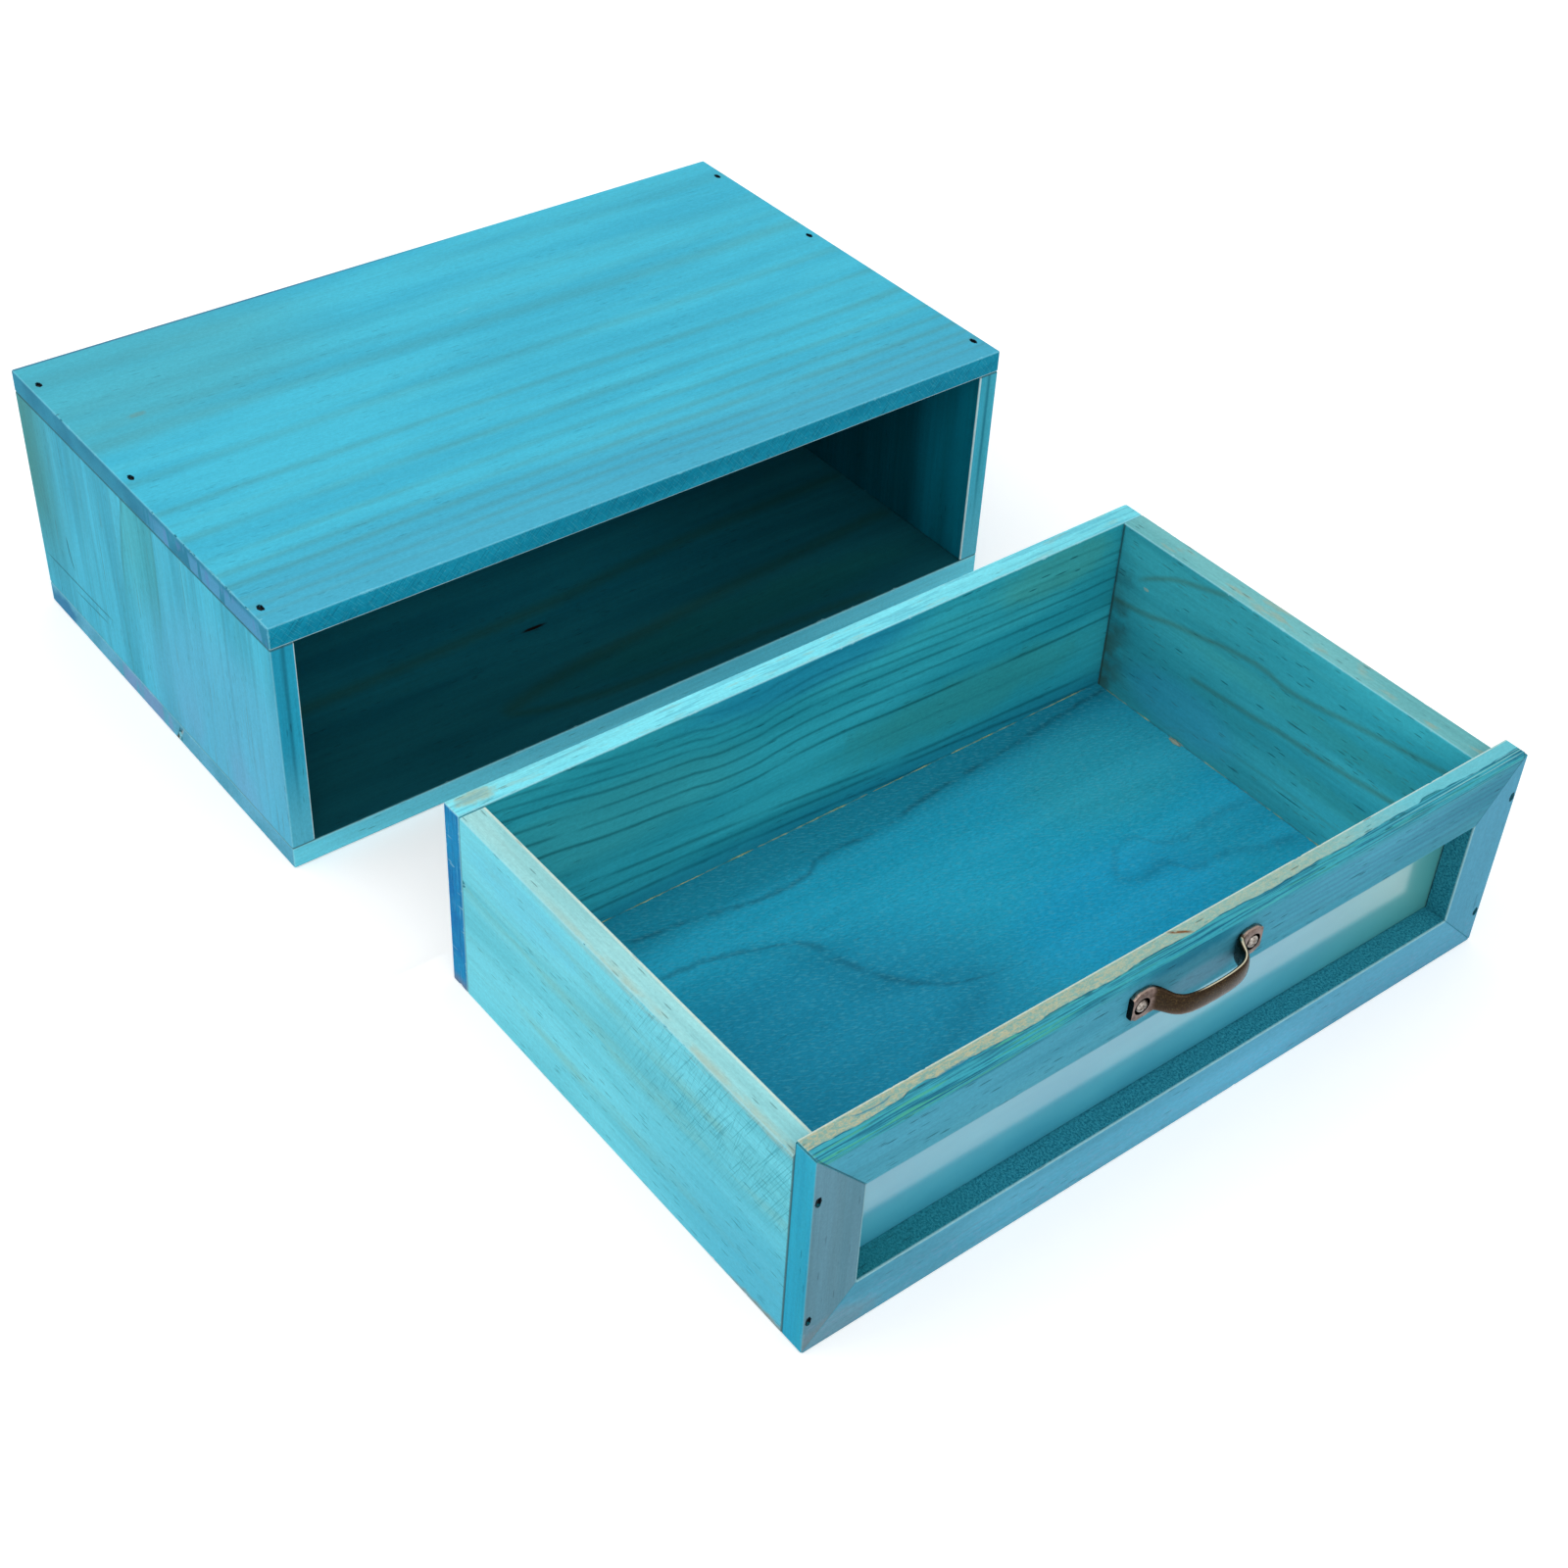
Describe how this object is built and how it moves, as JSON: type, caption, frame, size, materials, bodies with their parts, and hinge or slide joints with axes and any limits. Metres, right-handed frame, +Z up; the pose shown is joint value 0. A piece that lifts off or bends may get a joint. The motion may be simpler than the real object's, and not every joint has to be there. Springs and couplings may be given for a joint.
{
  "type": "drawer organizer",
  "caption": "Low turquoise-stained wooden case, open at the front, with a drawer that slides into it; the drawer has a mitred front frame, a frosted window and a bronze strap handle.",
  "frame": {"origin": "middle of the case's underside, where the case stands on the table", "axes": "+X along the case's width, to the right as seen from the front; +Y from the open front to the rear, which is also the way the drawer slides in; +Z up"},
  "size_m": [0.33, 0.4938, 0.1085],
  "materials": {
    "case_wood": "turquoise stain, satin",
    "drawer_wood": "turquoise stain, satin",
    "front_wood": "turquoise stain, satin",
    "floor_plywood": "turquoise stain, satin",
    "frosted_glass": "frosted",
    "antique_bronze": "antique bronze",
    "brad_steel": "dark, punched",
    "screw_steel": "bright"
  },
  "bodies": {
    "case": {"case_top": "case_wood", "case_bottom": "case_wood", "case_left_side": "case_wood", "case_right_side": "case_wood", "case_back_panel": "case_wood", "case_top_brads": "brad_steel", "case_bottom_brads": "brad_steel", "back_panel_brads": "brad_steel"},
    "drawer": {"drawer_back": "drawer_wood", "drawer_left_side": "drawer_wood", "drawer_right_side": "drawer_wood", "drawer_floor": "floor_plywood", "front_top_rail": "front_wood", "front_bottom_rail": "front_wood", "front_left_stile": "front_wood", "front_right_stile": "front_wood", "window_pane": "frosted_glass", "pane_left_strip": "drawer_wood", "pane_right_strip": "drawer_wood", "pane_foot_strip": "drawer_wood", "front_frame_brads": "brad_steel", "drawer_back_brads": "brad_steel", "pull_handle": "antique_bronze", "handle_screws": "screw_steel"}
  },
  "joints": [
    {"name": "drawer_slide", "type": "slide", "parent": "case", "child": "drawer", "axis": [0, 1, 0], "range_m": [0, 0.281]}
  ]
}
